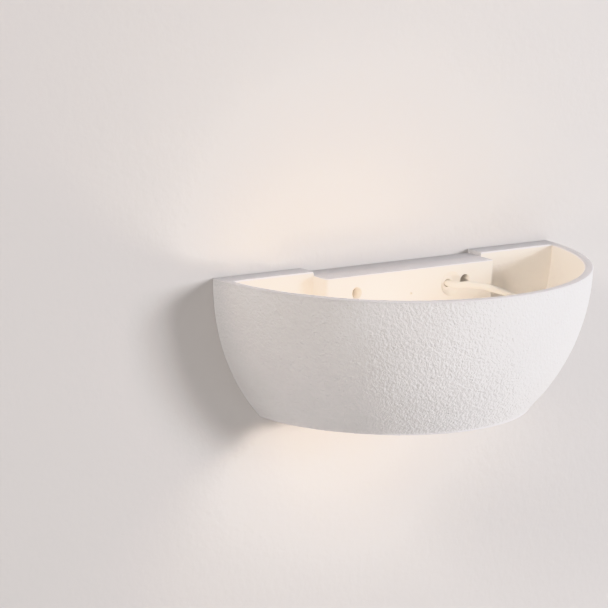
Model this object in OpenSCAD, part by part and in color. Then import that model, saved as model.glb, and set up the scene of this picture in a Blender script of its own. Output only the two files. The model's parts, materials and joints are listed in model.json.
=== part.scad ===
// Half-bowl plaster wall light, open above and below, with a screw-in lamp behind the bowl.
// +X is to the right, -Y stands out of the wall and +Z is up, in millimetres.
// The origin is the middle of the two wall fixing slots, on the wall plane.

/* [Shell] */
// Width across the rim, twice the bowl's radius
shell_w = 330; // [324:2:400]
// Height from the rim down to the cut lower edge
shell_h = 115; // [106:1:124]
// Thickness of the curved wall
shell_t = 7; // [5:0.5:8]
// Thickness of the flat back on each side of the box
back_t = 17.5; // [12:0.5:20]
// Height of the rim above the wall fixing slots
rim_rise = 30; // [29:0.5:33]

/* [Wiring box] */
// Width of the box in the middle of the back
box_w = 166; // [158:2:190]
// How far the box stands out from the wall
box_out = 35; // [33:0.5:42]
// Height of the box
box_h = 84; // [83:1:88]
// How far the box's top lies below the rim
box_drop = 3; // [1:0.5:4]
// Thickness of the box's walls
box_t = 7; // [6:0.5:8]
// Radius of the box's two upright front edges
box_edge_r = 3; // [1:0.5:5]

/* [Holes in the box] */
// Distance between the two shell screws
screw_gap = 107; // [104:1:112]
// How far the shell screws lie below the rim
screw_drop = 16.5; // [15.5:0.5:18]
// Diameter of the deep access holes of the shell screws
access_d = 10; // [9.6:0.2:12]
// Outer diameter of the bosses round those holes
boss_d = 16; // [15:0.5:17]
// Thickness of plaster under each shell screw's head
web_t = 5; // [4:0.5:7]
// Diameter of the small breather hole
vent_d = 2.5; // [2:0.5:4]
// How far the breather hole lies below the rim
vent_drop = 22; // [20:1:26]
// Diameter of the hole that the lead comes out of
lead_hole_d = 7; // [6:0.5:8]
// Diameter of the dished recess round the lead
dish_d = 20; // [14:1:22]
// Depth of the dished recess
dish_depth = 4; // [2:0.5:5]

/* [Wall bracket] */
// Thickness of the pressed steel
steel_t = 2; // [1.5:0.25:2.5]
// Distance from the wall to the front of the bracket's ears
ear_out = 14.5; // [12:0.5:17]
// Length of each wall fixing slot
slot_l = 14; // [10:1:16]
// Width of each wall fixing slot
slot_w = 5; // [4.2:0.2:6]
// Distance between the middles of the wall fixing slots
slot_gap = 50; // [46:1:54]
// Diameter of the hole for the supply cable
cable_hole_d = 16; // [12:1:18]
// Height of the bracket's middle panel
panel_h = 60; // [58:1:62]

/* [Screws] */
// Diameter of the shell screws
shell_screw_d = 5; // [4:0.5:5]
// Diameter of the small machine screws on the brackets
bolt_d = 4; // [3:0.5:4]
// Diameter of the terminal screws
clamp_screw_d = 3; // [2.5:0.5:3]
// Thickness of the flat washers
washer_t = 1; // [0.8:0.1:1.2]

/* [Terminal block] */
// Distance from one pole to the next
pole_pitch = 11; // [10:0.5:12]
// Height of the block's housing
block_h = 17; // [15:1:18]
// How far the block stands out from the bracket
block_out = 16; // [15:0.5:18]
// How far the block's top lies below the wall fixing slots
block_drop = 17; // [14:0.5:19]

/* [Lead] */
// Diameter of the lead
lead_d = 5; // [4:0.2:5.6]
// Diameter of one insulated core
core_d = 2; // [1.6:0.1:2.4]

/* [Lampholder] */
// Distance from the wall to the lamp's axis
lamp_out = 88; // [84:1:92]
// Height of the lamp's axis above the floor inside the wiring box
lamp_rise = 16; // [15:1:18]
// Distance from the centre line to the lampholder's foot
holder_x = 64; // [60:1:66]
// Length of the lampholder
holder_l = 60; // [58:1:63]
// Outer diameter of the lampholder's skirt
skirt_d = 40; // [39:0.5:44]
// Width of the holder bracket
holder_bracket_w = 36; // [34:1:40]
// Distance between the holder bracket's two screws
holder_bolt_gap = 16; // [14:1:17]
// Diameter of the threaded tube that carries the lampholder
nipple_d = 10; // [9.5:0.5:11]
// Wall thickness of the threaded tube
nipple_t = 1; // [0.8:0.1:1.4]

/* [Lamp] */
// Outer diameter of the lamp's screw cap
cap_d = 26.2; // [25.8:0.1:26.3]
// Distance from one turn of the lamp's thread to the next
cap_pitch = 3.62; // [3.2:0.02:3.8]
// Diameter of the lamp's round globe
globe_d = 45; // [43:1:50]
// Length of the lamp from its contact to the end of the globe
lamp_l = 78; // [74:1:84]
// Wall thickness of the lamp's globe
globe_t = 1.2; // [0.8:0.1:2]

/* [Clearances] */
// Gap all round a screw in the hole that it passes
hole_gap = 0.3; // [0.2:0.05:0.4]
// Gap all round a thread or a tube in its seat
fit_gap = 0.05; // [0.03:0.01:0.1]
// Gap between the bracket and the roof of the box
roof_gap = 0.5; // [0.3:0.1:1]
// Gap all round the lamp's cap in the thread sleeve
lamp_gap = 0.35; // [0.3:0.05:0.5]

/* [Hidden] */
$fn = 64;
eps = 0.02;
bowl_r = shell_w / 2;
rim_z = rim_rise;
foot_z = rim_z - shell_h;
box_top = rim_z - box_drop;
cavity_top = box_top - box_t;
cavity_w = box_w - 2 * box_t;
cavity_h = box_h - 2 * box_t;
box_inside = box_out - box_t;
screw_x = screw_gap / 2;
screw_z = rim_z - screw_drop;
head_seat = ear_out + web_t;

// The bracket's panel, its raised ears and the nuts behind them.
nut_room = 9.5;
riser_x = screw_x - nut_room;
ear_end = screw_x + nut_room + 1;
panel_top = cavity_top - roof_gap;
ear_drop = 17.5;
panel_corner = 4;
shell_nut_af = 8;
shell_nut_t = 4;
shell_head_d = 8.5;
shell_head_t = 3;
shell_tip = 2;
fibre_t = 0.8;
earth_x = 30;
earth_z = -24;

// Pan heads, nuts and washers of the small machine screws.
bolt_head_d = 7.5;
bolt_head_t = 2.4;
bolt_nut_af = 7;
bolt_nut_t = 3.2;
bolt_washer_d = 11;
bolt_tip = 1;
tag_t = 0.8;
tag_d = 9;
recess_w = 1;
recess_l = 4.4;

// Three poles side by side, each a brass tube with two screws.
pole_x = [-pole_pitch, 0, pole_pitch];
block_w = 3 * pole_pitch;
tube_out = steel_t + block_out / 2;
tube_d = 6;
tube_bore = 3.4;
block_floor = block_h - 1.5;
groove_w = 1.5;
clamp_reach = 4.5;
clamp_head_d = 4.4;
fixing_seat = steel_t + block_out * 0.7;
fixing_head_d = 4.8;
block_z = -block_drop - block_h / 2;

// The lead leaves the box here. Its route is a list of points chosen by hand.
lead_x = 39;
lead_z = 12;
lead_start = 23;
stop_d = 11;
stop_screw_d = 1.5;
stop_screw_l = 8;
stop_screw_x = lead_x + lead_d / 2 + 1.7;
stop_slit = 0.8;
lead_sides = 10;
dish_floor_d = lead_hole_d + 4;
dish_spare = 0.4;
core_sides = 8;

// The lamp's axis runs along -X from the foot of the lampholder.
lamp_z = cavity_top - cavity_h + lamp_rise;
axis_r = holder_bracket_w / 2;
flange_w = 24;
bolt_in = 13;
bolt_x = holder_x + steel_t - bolt_in;
nipple_in = 8;
nipple_spare = 1.5;
dome_step = 0.5;
nipple_out = steel_t + tag_t + shell_nut_t + 2;
nipple_nut_af = 14;
tooth_d = 16;
tooth_slot_w = 1.2;
tooth_slot_l = 1.2;
bush_flange_t = 1.5;
bush_in = 8;
dome_l = 24;
dome_rise = [0.27, 0.46, 0.71];
neck_t = 3;
neck_l = 4;
cap_thread_l = 8;
cap_wall = 2;
flange_t = 3;
insert_back = 24;
insert_top = dome_l + cap_thread_l;
insert_face = insert_top + 1;
cup_l = 25;
skirt_r = skirt_d / 2;
cap_thread_r = skirt_r - cap_wall;
insert_r = cap_thread_r - fit_gap;
sleeve_r = cap_d / 2 + lamp_gap;
sleeve_t = 0.45;
sleeve_wave = 0.25;
cup_r = sleeve_r + sleeve_t + fit_gap;
cup_t = 1.4;
spring_rise = 3.2;
spring_t = 0.4;
spring_w = 5;
clamp_w = 6;
clamp_r = 9;
clamp_l = 5;
clamp_back = 5;

// The lamp's parts are measured from its end contact, which rests on the spring.
tip_w = insert_face + spring_rise + fit_gap;
globe_r = globe_d / 2;
globe_c = lamp_l - globe_r;
tip_r = 4.8;
tip_t = 1.2;
cone_t = 3;
cone_r = tip_r + 5.5;
cap_start = tip_t + cone_t;
cap_l = 21.8;
cap_end = cap_start + cap_l;
thread_turns = 5;
thread_depth = 0.8;
cap_wall_t = 0.5;
cap_core_r = cap_d / 2 - thread_depth;
neck_r = cap_core_r - cap_wall_t - fit_gap;
globe_rise = 34;
collar_end = lamp_l - globe_rise;
collar_t = 1.6;
collar_r = sqrt(pow(globe_r, 2) - pow(globe_c - collar_end, 2)) + 0.6;
board_t = 1.6;
board_r = collar_r - collar_t;
board_hole_d = 6;
driver_w = 16;
driver_t = 1.2;
driver_gap = 4;
capacitor_d = 6.8;
capacitor_l = 12;
chips = 8;
chip_size = [3.5, 2.8, 0.8];

// Each route starts from what holds it: the lead's hole, the lampholder's foot, the terminal
// block or an earth tag.
lead_out = [lead_x, -box_out, lead_z];
lead_in = [holder_x, -lamp_out, lamp_z];
block_top = [0, -tube_out, block_z + block_h / 2];
holder_tag = [bolt_x, -box_inside + washer_t + tag_t / 2, lamp_z + holder_bolt_gap / 2];
panel_tag = [-earth_x, -steel_t - tag_t / 2, earth_z];
lead_route = concat(
    [for (p = [[0, 12, 0], [0, 5, 0], [0, -1, 0], [0.5, -5.5, 0], [2, -10, 0.5], [5, -15, 1.5],
        [10, -19.5, 1], [17, -23, 0], [25, -25.5, -2.5], [33, -27, -5.5], [41, -28, -9],
        [49, -28.5, -13]]) lead_out + p],
    [for (p = [[30, 23, 28.5], [34, 20, 23], [36, 16, 17.5], [35.5, 11, 12], [33, 7, 7],
        [28.5, 3.5, 3.5], [22.5, 1, 1], [16, 0, 0], [10, 0, 0], [2, 0, 0], [-4, 0, 0],
        [-9, 0, 0]]) lead_in + p]);
live_route = concat(
    [for (p = [[-1, 12, 1], [-1, 17, 1], [-3, 21, 0], [-8, 24, -3], [-17, 25, -9]]) lead_out + p],
    [for (p = [[8, 0, 13], [-4, 0, 8], [-10, 0, 4], [-pole_pitch, 0, -1]]) block_top + p]);
neutral_route = concat(
    [for (p = [[1, 12, -1], [1, 17, -1], [-1, 21, -3], [-5, 23, -8], [-12, 25, -15]]) lead_out + p],
    [for (p = [[18, 0, 8], [12, 0, 4], [pole_pitch, 0, -1]]) block_top + p]);
panel_earth_route = concat(
    [for (p = [[-1.2, 1, -0.7], [-1.2, 1, 2], [-4, 2, 4.5], [-10, 3, 5], [-18, 4, 4.5]]) block_top + p],
    [for (p = [[5, -2.1, 10.5], [1, -1, 8.5], [0, -0.6, 6.5], [0, -0.6, tag_d / 2]]) panel_tag + p]);
holder_earth_route = concat(
    [for (p = [[1.2, -1, -0.7], [1.2, -1, 2], [4, -2, 4], [12, -4, 4.5], [24, -7, 4]]) block_top + p],
    [for (p = [[-17, 5.6, 11], [-10, 2.1, 8.5], [-5.3, 0.6, 5.3], [-3.3, 0.6, 3.3]]) holder_tag + p]);
live_tail = [for (p = [[-9, 0, 1], [-10.5, 0, 1], [-12.5, 0, 2], [-14.5, 0, 5.5], [-16.5, 0, 8.3],
    [-18.5, 0, clamp_r], [-19.8, 0, clamp_r]]) lead_in + p];
neutral_tail = [for (p = live_tail) [p[0], p[1], 2 * lamp_z - p[2]]];

// ---------- shared forms ----------

// A child that is drawn along +Z is turned to point out of the wall.
module out_of_wall(x, z, out = 0) { translate([x, -out, z]) rotate([90, 0, 0]) children(); }

// +Z becomes the lamp's axis, from the lampholder's foot towards the globe.
module on_lamp_axis(along = 0) {
    translate([holder_x - along, -lamp_out, lamp_z]) rotate([0, -90, 0]) children();
}

// The lamp's own axis, from its end contact towards the globe.
module on_lamp(along = 0) { on_lamp_axis(tip_w + along) children(); }

module both_sides() { for (side = [-1, 1]) translate([side * screw_x, 0, 0]) children(); }

module ring(outer_d, inner_d, h) {
    difference() {
        cylinder(d = outer_d, h = h);
        translate([0, 0, -1]) cylinder(d = inner_d, h = h + 2);
    }
}

module hex_nut(af, bore_d, h) {
    difference() {
        cylinder(r = af / 2 / cos(30), h = h, $fn = 6);
        translate([0, 0, -1]) cylinder(d = bore_d, h = h + 2);
    }
}

// A pan-head screw: the head's seat is at z = 0, and the shank runs down from it.
module screw(d, l, head_d, head_t) {
    difference() {
        union() {
            cylinder(d = head_d, h = head_t * 0.6);
            translate([0, 0, head_t * 0.6]) cylinder(d1 = head_d, d2 = head_d * 0.72, h = head_t * 0.4);
        }
        for (turn = [0, 90]) rotate(turn) translate([-recess_l / 2, -recess_w / 2, head_t * 0.45])
            cube([recess_l, recess_w, head_t]);
    }
    translate([0, 0, -l]) cylinder(d = d, h = l + eps);
}

// A slotted screw without a head.
module set_screw(d, l) {
    difference() {
        cylinder(d = d, h = l);
        translate([-d, -0.3, l - 0.7]) cube([2 * d, 0.6, 1]);
    }
}

function unit(v) = v / norm(v);
function tangents(p) = [for (i = [0:len(p) - 1]) unit(p[min(i + 1, len(p) - 1)] - p[max(i - 1, 0)])];
function carried(n, t) = unit(n - (n * t) * t);
function normals(t, n, i = 0) =
    i == len(t) ? [] : let (m = carried(n, t[i])) concat([m], normals(t, m, i + 1));

// A round tube swept along a route, with one ring of points at each point of the route.
module tube(route, d, sides) {
    t = tangents(route);
    n = normals(t, carried([0.3, 0.2, 1], t[0]));
    last = (len(route) - 1) * sides;
    points = [for (i = [0:len(route) - 1]) for (k = [0:sides - 1])
        route[i] + d / 2 * (cos(360 * k / sides) * n[i] + sin(360 * k / sides) * cross(t[i], n[i]))];
    skin = [for (i = [0:len(route) - 2]) for (k = [0:sides - 1])
        let (a = i * sides + k, b = i * sides + (k + 1) % sides)
        each [[a, a + sides, b + sides], [a, b + sides, b]]];
    ends = [[for (k = [0:sides - 1]) k], [for (k = [sides - 1:-1:0]) last + k]];
    polyhedron(points, concat(skin, ends));
}

// ---------- shell ----------

// The slice of a ball that the bowl is cut from, in front of a plane at a distance from the wall.
module ball_slice(r, off, spare) {
    intersection() {
        translate([0, 0, rim_z]) sphere(r, $fn = 128);
        translate([-r, -r, foot_z - spare]) cube([2 * r, r - off, shell_h + 2 * spare]);
    }
}

module box_body() {
    side_x = box_w / 2 - box_edge_r;
    translate([0, 0, box_top - box_h]) {
        translate([-side_x, -box_out, 0]) cube([2 * side_x, box_out, box_h]);
        translate([-box_w / 2, -box_out + box_edge_r, 0]) cube([box_w, box_out - box_edge_r, box_h]);
        for (x = [-side_x, side_x]) translate([x, -box_out + box_edge_r, 0])
            cylinder(r = box_edge_r, h = box_h);
    }
}

module box_cavity() {
    translate([-cavity_w / 2, -box_inside, cavity_top - cavity_h]) cube([cavity_w, box_inside + 1, cavity_h]);
}

module boss() {
    out_of_wall(0, screw_z, ear_out) cylinder(d = boss_d, h = box_inside - ear_out + eps);
}

module screw_hole() {
    out_of_wall(0, screw_z, head_seat) cylinder(d = access_d, h = box_out);
    out_of_wall(0, screw_z, ear_out - 1) cylinder(d = shell_screw_d + 2 * hole_gap, h = box_out);
}

module lead_hole() {
    out_of_wall(lead_x, lead_z, box_inside - 1) cylinder(d = lead_hole_d, h = box_t + 2);
    out_of_wall(lead_x, lead_z, box_out - dish_depth)
        cylinder(d1 = dish_floor_d, d2 = dish_d + 1, h = dish_depth + dish_spare);
}

module plaster_shell() {
    color("#efebe8") difference() {
        union() {
            difference() {
                ball_slice(bowl_r, 0, 0);
                ball_slice(bowl_r - shell_t, back_t, 1);
                translate([-box_w / 2, -back_t - 1, box_top]) cube([box_w, back_t + 2, box_drop + 1]);
                box_cavity();
            }
            difference() {
                box_body();
                box_cavity();
            }
            both_sides() boss();
        }
        both_sides() screw_hole();
        lead_hole();
        out_of_wall(0, rim_z - vent_drop, box_inside - 1) cylinder(d = vent_d, h = box_t + 2);
        for (z = [-1, 1]) out_of_wall(bolt_x, lamp_z + z * holder_bolt_gap / 2, box_inside - 1)
            cylinder(d = bolt_d + 2 * hole_gap, h = box_t + 2);
    }
}

// ---------- wall bracket ----------

module bracket_ear() {
    ear_z = panel_top - ear_drop;
    translate([riser_x - eps, -ear_out, ear_z]) cube([ear_end - riser_x, steel_t, ear_drop]);
    translate([riser_x - eps, -ear_out, ear_z]) cube([steel_t, ear_out, ear_drop]);
}

module wall_bracket() {
    color("#b9bcc0") difference() {
        union() {
            translate([-riser_x, -steel_t, panel_top - panel_h]) cube([2 * riser_x, steel_t, panel_h]);
            bracket_ear();
            mirror([1, 0, 0]) bracket_ear();
        }
        both_sides() out_of_wall(0, screw_z, -1) cylinder(d = shell_screw_d + 2 * hole_gap, h = box_out);
        out_of_wall(0, 0, -1) cylinder(d = cable_hole_d, h = steel_t + 2);
        for (x = [-1, 1]) translate([x * slot_gap / 2, 0, 0]) {
            for (end = [-1, 1]) out_of_wall(end * (slot_l - slot_w) / 2, 0, -1)
                cylinder(d = slot_w, h = steel_t + 2);
            translate([-(slot_l - slot_w) / 2, -steel_t - 1, -slot_w / 2])
                cube([slot_l - slot_w, steel_t + 2, slot_w]);
        }
        out_of_wall(-earth_x, earth_z, -1) cylinder(d = bolt_d + 2 * fit_gap, h = steel_t + 2);
        out_of_wall(pole_pitch / 2, block_z, -1) cylinder(d = clamp_screw_d + 2 * fit_gap, h = steel_t + 2);
    }
}

module bracket_nuts() {
    color("#c9c9c4") both_sides() out_of_wall(0, screw_z, ear_out - steel_t - shell_nut_t)
        hex_nut(shell_nut_af, shell_screw_d + 2 * fit_gap, shell_nut_t);
}

module shell_screws() {
    reach = head_seat + fibre_t - (ear_out - steel_t - shell_nut_t) + shell_tip;
    color("#cfd0d2") both_sides() out_of_wall(0, screw_z, head_seat + fibre_t)
        screw(shell_screw_d, reach, shell_head_d, shell_head_t);
}

module shell_washers() {
    color("#a0522d") both_sides() out_of_wall(0, screw_z, head_seat)
        ring(access_d - 1, shell_screw_d + 2 * hole_gap, fibre_t);
}

module earth_screw() {
    color("#c8a24a") out_of_wall(-earth_x, earth_z, steel_t + tag_t)
        screw(bolt_d, steel_t + tag_t, bolt_head_d, bolt_head_t);
}

// ---------- terminal block ----------

module terminal_block() {
    color("#f2f1ee") difference() {
        translate([-block_w / 2, -steel_t - block_out, block_z - block_h / 2])
            cube([block_w, block_out, block_h]);
        for (x = pole_x) {
            translate([x, -tube_out, block_z - block_h / 2 - 1])
                cylinder(d = tube_d + 2 * fit_gap, h = block_h + 2);
            for (z = [-1, 1]) out_of_wall(x, block_z + z * block_h / 4, tube_out)
                cylinder(d = clamp_head_d, h = block_out);
        }
        for (x = [-1, 1])
            translate([x * pole_pitch / 2 - groove_w / 2, -steel_t - block_out - 1, block_z - block_h])
            cube([groove_w, block_out * 0.35, 2 * block_h]);
        out_of_wall(pole_pitch / 2, block_z) cylinder(d = clamp_screw_d + 2 * hole_gap, h = block_out);
        out_of_wall(pole_pitch / 2, block_z, fixing_seat)
            cylinder(d = fixing_head_d + 2 * hole_gap, h = block_out);
    }
}

module terminal_tubes() {
    color("#d0ad52") for (x = pole_x) difference() {
        translate([x, -tube_out, block_z - block_floor / 2]) cylinder(d = tube_d, h = block_floor);
        translate([x, -tube_out, block_z - block_h]) cylinder(d = tube_bore, h = 2 * block_h);
        for (z = [-1, 1]) out_of_wall(x, block_z + z * block_h / 4, tube_out)
            cylinder(d = clamp_screw_d + 2 * fit_gap, h = tube_d);
    }
}

module terminal_screws() {
    color("#d9dadb") for (x = pole_x) for (z = [-1, 1])
        out_of_wall(x, block_z + z * block_h / 4, tube_out + 1) set_screw(clamp_screw_d, clamp_reach);
}

module terminal_fixing() {
    color("#cfd0d2") out_of_wall(pole_pitch / 2, block_z, fixing_seat)
        screw(clamp_screw_d, fixing_seat, fixing_head_d, 2);
}

// ---------- lead and wires ----------

// The stop grips the lead behind the box's front wall, so a pull can't draw it out.
module lead_stop() {
    color("#e9e7e2") difference() {
        out_of_wall(lead_x, lead_z, lead_start) ring(stop_d, lead_d + 2 * fit_gap, box_inside - lead_start);
        out_of_wall(lead_x, lead_z, lead_start - 1) translate([lead_d / 2, -stop_slit / 2, 0])
            cube([stop_d, stop_slit, box_inside]);
        translate([stop_screw_x, -(box_inside + lead_start) / 2, lead_z - stop_d])
            cylinder(d = stop_screw_d + 2 * fit_gap, h = 2 * stop_d);
    }
}

module lead_stop_screw() {
    color("#cfd0d2") translate([stop_screw_x, -(box_inside + lead_start) / 2, lead_z - stop_screw_l / 2])
        cylinder(d = stop_screw_d, h = stop_screw_l);
}

module lamp_lead() { color("#f4f2ee") tube(lead_route, lead_d, lead_sides); }

// Each core runs bare of the sheath at both ends of the lead.
module core_live() {
    color("#6e4226") {
        tube(live_route, core_d, core_sides);
        tube(live_tail, core_d, core_sides);
    }
}

module core_neutral() {
    color("#2f6fae") {
        tube(neutral_route, core_d, core_sides);
        tube(neutral_tail, core_d, core_sides);
    }
}

module earth_link() {
    color("#7fa83a") {
        tube(panel_earth_route, core_d, core_sides);
        tube(holder_earth_route, core_d, core_sides);
    }
}

// Ring tags: one under the earth screw, one under the upper nut of the holder bracket's screws.
module earth_tags() {
    color("#c9ccd0") {
        out_of_wall(-earth_x, earth_z, steel_t) ring(tag_d, bolt_d + 2 * fit_gap, tag_t);
        out_of_wall(bolt_x, lamp_z + holder_bolt_gap / 2, box_inside - washer_t - tag_t)
            ring(tag_d, bolt_d + 2 * fit_gap, tag_t);
    }
}

// ---------- holder bracket ----------

module holder_bracket() {
    color("#f0efec") difference() {
        union() {
            translate([holder_x + steel_t - flange_w, -box_out - steel_t, lamp_z - axis_r])
                cube([flange_w, steel_t, holder_bracket_w]);
            translate([holder_x, -lamp_out, lamp_z - axis_r])
                cube([steel_t, lamp_out - box_out, holder_bracket_w]);
            on_lamp_axis(-steel_t) cylinder(r = axis_r, h = steel_t);
        }
        on_lamp_axis(-steel_t - 1) cylinder(d = nipple_d + 2 * fit_gap, h = steel_t + 2);
        for (z = [-1, 1]) out_of_wall(bolt_x, lamp_z + z * holder_bolt_gap / 2, box_out - 1)
            cylinder(d = bolt_d + 2 * hole_gap, h = steel_t + 2);
    }
}

module holder_bolts() {
    reach = steel_t + box_t + washer_t + tag_t + bolt_nut_t + bolt_tip;
    color("#cfd0d2") for (z = [-1, 1])
        out_of_wall(bolt_x, lamp_z + z * holder_bolt_gap / 2, box_out + steel_t)
            screw(bolt_d, reach, bolt_head_d, bolt_head_t);
}

module holder_washers() {
    color("#c9ccd0") for (z = [-1, 1])
        out_of_wall(bolt_x, lamp_z + z * holder_bolt_gap / 2, box_inside - washer_t)
            ring(bolt_washer_d, bolt_d + 2 * hole_gap, washer_t);
}

module holder_nuts() {
    color("#c9c9c4") for (z = [-1, 1])
        out_of_wall(bolt_x, lamp_z + z * holder_bolt_gap / 2,
            box_inside - washer_t - (z > 0 ? tag_t : 0) - bolt_nut_t)
            hex_nut(bolt_nut_af, bolt_d + 2 * fit_gap, bolt_nut_t);
}

module nipple() {
    color("#b9bcc0") on_lamp_axis(-nipple_out)
        ring(nipple_d, nipple_d - 2 * nipple_t, nipple_out + nipple_in);
}

module tooth_washer() {
    color("#9a9da1") on_lamp_axis(-steel_t - tag_t) difference() {
        ring(tooth_d, nipple_d + 2 * fit_gap, tag_t);
        for (a = [0:30:330]) rotate(a) translate([tooth_d / 2 - tooth_slot_l, -tooth_slot_w / 2, -1])
            cube([2 * tooth_slot_l, tooth_slot_w, tag_t + 2]);
    }
}

module nipple_nut() {
    color("#b9bcc0") on_lamp_axis(-steel_t - tag_t - shell_nut_t)
        hex_nut(nipple_nut_af, nipple_d + 2 * fit_gap, shell_nut_t);
}

module entry_bush() {
    bore = lead_d + 2 * fit_gap;
    color("#f4f2ee") on_lamp_axis(-nipple_out) {
        translate([0, 0, -bush_flange_t])
            ring(nipple_d - 2 * nipple_t - 2 * fit_gap, bore, bush_in + bush_flange_t);
        translate([0, 0, -bush_flange_t]) ring(nipple_d + 2, bore, bush_flange_t);
    }
}

// ---------- lampholder ----------

// The domed cap: its neck screws onto the threaded tube, its rim carries the skirt.
module holder_cap() {
    bore_r = nipple_d / 2 + fit_gap;
    floor_w = nipple_in + nipple_spare;
    color("#f4f3f0") on_lamp_axis() rotate_extrude() polygon([
        [bore_r, 0], [bore_r + neck_t, 0], [bore_r + neck_t, neck_l],
        [skirt_r * 0.63, dome_l * dome_rise[0]], [skirt_r * 0.85, dome_l * dome_rise[1]],
        [skirt_r - dome_step, dome_l * dome_rise[2]], [skirt_r - dome_step, dome_l],
        [cap_thread_r, dome_l], [cap_thread_r, insert_top], [cap_thread_r - cap_wall, insert_top],
        [cap_thread_r - cap_wall, dome_l * dome_rise[2]], [skirt_r * 0.66, dome_l / 2],
        [bore_r + neck_t + dome_step, floor_w], [bore_r, floor_w]]);
}

module insert_pocket(side) {
    translate([side * clamp_r - clamp_w / 2, -clamp_w / 2, insert_back - 1])
        cube([clamp_w, clamp_w, clamp_l + 1]);
}

// The porcelain insert: a flange held between cap and skirt, and a cup round the thread sleeve.
module holder_insert() {
    color("#f7f6f2") on_lamp_axis() difference() {
        union() {
            translate([0, 0, insert_back])
                cylinder(r = insert_r - cap_wall - 1, h = insert_top - insert_back + eps);
            translate([0, 0, insert_top]) cylinder(r = insert_r, h = flange_t);
            translate([0, 0, insert_top]) cylinder(r = cup_r + cup_t, h = cup_l);
        }
        translate([0, 0, insert_face]) cylinder(r = cup_r, h = cup_l + flange_t);
        for (side = [-1, 1]) insert_pocket(side);
        for (side = [-1, 1]) translate([side * clamp_r, 0, insert_back])
            cylinder(d = core_d + 2 * hole_gap, h = cup_l);
    }
}

module thread_sleeve() {
    color("#cdb675") on_lamp_axis(insert_face) rotate_extrude() polygon(concat(
        [for (k = [0:8]) [sleeve_r + (k % 2 == 0 ? 0 : sleeve_wave), k * (cup_l - 1) / 8]],
        [[sleeve_r + sleeve_t, cup_l - 1], [sleeve_r + sleeve_t, 0]]));
}

// A sprung strip: its foot lies on the insert, its raised end presses on the lamp's contact.
module centre_contact() {
    top = spring_rise;
    color("#c98f4e") on_lamp_axis(insert_face) translate([0, spring_w / 2, 0]) rotate([90, 0, 0])
        linear_extrude(spring_w) polygon([[-9, 0], [-5, 0], [-1.5, top - spring_t], [3, top - spring_t],
            [3, top], [-1.9, top], [-5.3, spring_t], [-9, spring_t]]);
}

module holder_terminals() {
    color("#d0ad52") on_lamp_axis() for (side = [-1, 1]) difference() {
        translate([side * clamp_r - clamp_w / 2 + fit_gap, -clamp_w / 2 + fit_gap, insert_back - clamp_back])
            cube([clamp_w - 2 * fit_gap, clamp_w - 2 * fit_gap, clamp_back + clamp_l - fit_gap]);
        translate([side * clamp_r, 0, insert_back - clamp_back - 1])
            cylinder(d = core_d + 2 * hole_gap, h = clamp_back + 2);
        translate([side * clamp_r, 0, insert_back - clamp_back / 2]) rotate([-90, 0, 0])
            cylinder(d = clamp_screw_d + 2 * fit_gap, h = clamp_w);
    }
}

module holder_terminal_screws() {
    color("#d9dadb") on_lamp_axis() for (side = [-1, 1])
        translate([side * clamp_r, 0.6, insert_back - clamp_back / 2]) rotate([-90, 0, 0])
            set_screw(clamp_screw_d, clamp_w / 2);
}

module holder_skirt() {
    shoulder = insert_top + flange_t + fit_gap;
    color("#f4f3f0") on_lamp_axis() rotate_extrude() polygon([
        [cap_thread_r + fit_gap, dome_l + fit_gap], [skirt_r, dome_l + fit_gap],
        [skirt_r, holder_l - 2], [skirt_r - 0.8, holder_l], [skirt_r - 2.4, holder_l],
        [skirt_r - 2.4, shoulder + 2], [cup_r + cup_t + 0.4, shoulder + 2],
        [cup_r + cup_t + 0.4, shoulder], [cap_thread_r + fit_gap, shoulder]]);
}

// ---------- lamp ----------

module bulb_globe() {
    color("#fbf7ee") on_lamp() difference() {
        translate([0, 0, globe_c]) sphere(globe_r, $fn = 96);
        translate([0, 0, globe_c]) sphere(globe_r - globe_t, $fn = 96);
        translate([0, 0, collar_end - globe_d]) cylinder(d = 2 * globe_d, h = globe_d);
    }
}

module bulb_housing() {
    mid = (cap_end + collar_end) / 2;
    mid_r = (cap_d / 2 + 1 + collar_r) / 2;
    color("#f3f2ef") on_lamp() rotate_extrude() polygon([
        [neck_r - collar_t, cap_end - 6], [neck_r, cap_end - 6], [neck_r, cap_end],
        [cap_d / 2 + 0.5, cap_end], [cap_d / 2 + 0.9, cap_end + 4], [mid_r - 0.5, mid],
        [mid_r + 1.6, mid + 4.5], [collar_r, collar_end], [board_r + fit_gap, collar_end],
        [board_r + fit_gap, collar_end - board_t], [board_r - 1.6, collar_end - board_t],
        [mid_r - 2.6, mid], [cap_d / 2 - 1, cap_end + 4], [neck_r - collar_t, cap_end + 1]]);
}

// The cap's rolled thread, with two crests and troughs of points a turn.
module bulb_screw_cap() {
    crest = cap_d / 2;
    steps = thread_turns * 4;
    rolled = [for (k = [0:steps]) [k % 4 == 1 || k % 4 == 2 ? crest : cap_core_r,
        cap_start + 2 + k * cap_pitch / 4]];
    color("#cfd1d3") on_lamp() rotate_extrude() polygon(concat(
        [[cone_r, cap_start], [cap_core_r, cap_start + 1]], rolled,
        [[cap_core_r, cap_end], [neck_r + fit_gap, cap_end], [neck_r + fit_gap, cap_start + 1.6],
        [cone_r, cap_start + 0.6]]));
}

module bulb_insulator() {
    color("#2b2a2c") on_lamp() rotate_extrude() polygon([[0, tip_t], [tip_r, tip_t], [tip_r + 1, tip_t + 0.3],
        [cone_r, cap_start], [cone_r, cap_start + 0.6], [0, cap_start + 0.6]]);
}

module bulb_tip() {
    color("#b08a55") on_lamp() rotate_extrude()
        polygon([[0, 0], [tip_r * 0.6, 0.1], [tip_r * 0.9, 0.5], [tip_r, tip_t], [0, tip_t]]);
}

module led_board() {
    color("#f2f4f5") on_lamp(collar_end - board_t) ring(2 * board_r, board_hole_d, board_t);
}

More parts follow.
